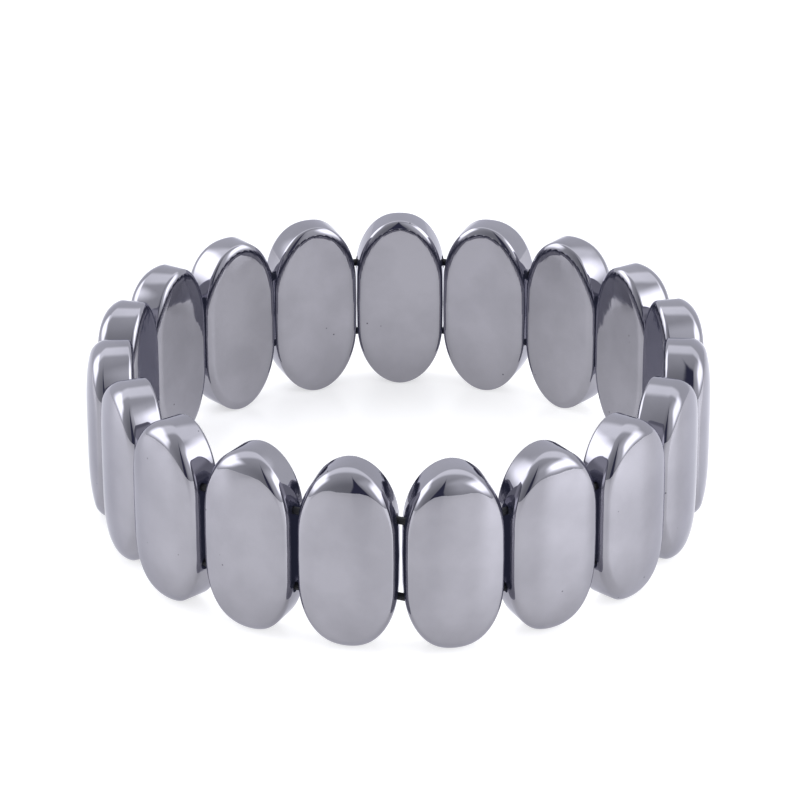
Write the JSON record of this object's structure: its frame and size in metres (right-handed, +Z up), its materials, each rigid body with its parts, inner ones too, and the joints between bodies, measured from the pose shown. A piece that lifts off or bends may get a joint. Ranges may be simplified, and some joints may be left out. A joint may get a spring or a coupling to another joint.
{
  "type": "stretch bracelet",
  "caption": "Stretch bracelet: a ring of flat oval polished grey stone beads, drilled across and strung side by side on parallel black elastic cords.",
  "frame": {"origin": "centre of the ring on the plane that the beads stand on", "axes": "+Z up along the ring's axis, -Y towards the front of the ring, +X to its right"},
  "size_m": [0.0671, 0.071, 0.0203],
  "materials": {
    "polished_stone": "mirror-polished hematite, dark silver grey with a cool cast",
    "black_elastic": "black elastic cord, slightly glossy"
  },
  "bodies": {
    "root": {"bead_01": "polished_stone", "bead_02": "polished_stone", "bead_03": "polished_stone", "bead_04": "polished_stone", "bead_05": "polished_stone", "bead_06": "polished_stone", "bead_07": "polished_stone", "bead_08": "polished_stone", "bead_09": "polished_stone", "bead_10": "polished_stone", "bead_11": "polished_stone", "bead_12": "polished_stone", "bead_13": "polished_stone", "bead_14": "polished_stone", "bead_15": "polished_stone", "bead_16": "polished_stone", "bead_17": "polished_stone", "bead_18": "polished_stone", "bead_19": "polished_stone", "upper_cord": "black_elastic", "lower_cord": "black_elastic"}
  },
  "joints": []
}
